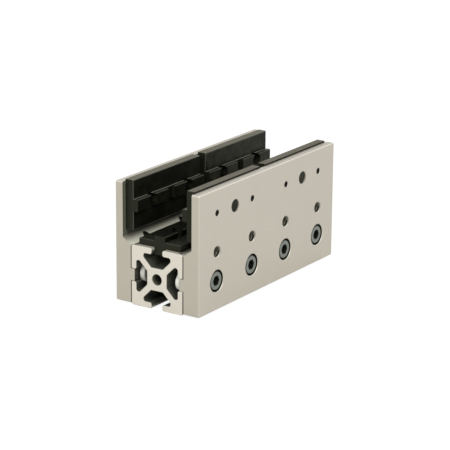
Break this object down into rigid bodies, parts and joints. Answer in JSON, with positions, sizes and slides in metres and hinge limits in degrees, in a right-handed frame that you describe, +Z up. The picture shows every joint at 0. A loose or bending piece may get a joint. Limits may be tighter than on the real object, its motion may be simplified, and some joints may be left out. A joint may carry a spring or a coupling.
{
  "type": "linear bearing",
  "caption": "U-shaped plain linear bearing: a T-slot aluminium profile with bolted side plates and ridged black plastic pads that guide a sliding profile.",
  "frame": {"origin": "bottom centre of the bounding box, on the underside of the profile", "axes": "+X along the channel and the profile, +Y from the front plate to the rear plate, +Z up out of the open side of the channel"},
  "size_m": [0.16, 0.064, 0.0809],
  "materials": {
    "profile_aluminium": "clear anodised extrusion with sawn ends",
    "plate_aluminium": "satin clear anodised, machined",
    "bearing_plastic": "machined black polyethylene",
    "plate_screw_steel": "zinc plated",
    "pad_screw_steel": "zinc plated",
    "nut_steel": "bright zinc plated"
  },
  "bodies": {
    "root": {"base_pad_left": "bearing_plastic", "base_pad_nut_1": "nut_steel", "base_pad_nut_2": "nut_steel", "base_pad_nut_3": "nut_steel", "base_pad_nut_4": "nut_steel", "base_pad_right": "bearing_plastic", "base_pad_screw_1": "pad_screw_steel", "base_pad_screw_2": "pad_screw_steel", "base_pad_screw_3": "pad_screw_steel", "base_pad_screw_4": "pad_screw_steel", "base_profile": "profile_aluminium", "front_nut_bar_left": "nut_steel", "front_nut_bar_right": "nut_steel", "front_pad_left": "bearing_plastic", "front_pad_right": "bearing_plastic", "front_pad_screw_1": "pad_screw_steel", "front_pad_screw_2": "pad_screw_steel", "front_pad_screw_3": "pad_screw_steel", "front_pad_screw_4": "pad_screw_steel", "front_plate": "plate_aluminium", "front_plate_screw_1": "plate_screw_steel", "front_plate_screw_2": "plate_screw_steel", "front_plate_screw_3": "plate_screw_steel", "front_plate_screw_4": "plate_screw_steel", "rear_nut_bar_left": "nut_steel", "rear_nut_bar_right": "nut_steel", "rear_pad_left": "bearing_plastic", "rear_pad_right": "bearing_plastic", "rear_pad_screw_1": "pad_screw_steel", "rear_pad_screw_2": "pad_screw_steel", "rear_pad_screw_3": "pad_screw_steel", "rear_pad_screw_4": "pad_screw_steel", "rear_plate": "plate_aluminium", "rear_plate_screw_1": "plate_screw_steel", "rear_plate_screw_2": "plate_screw_steel", "rear_plate_screw_3": "plate_screw_steel", "rear_plate_screw_4": "plate_screw_steel"}
  },
  "joints": []
}
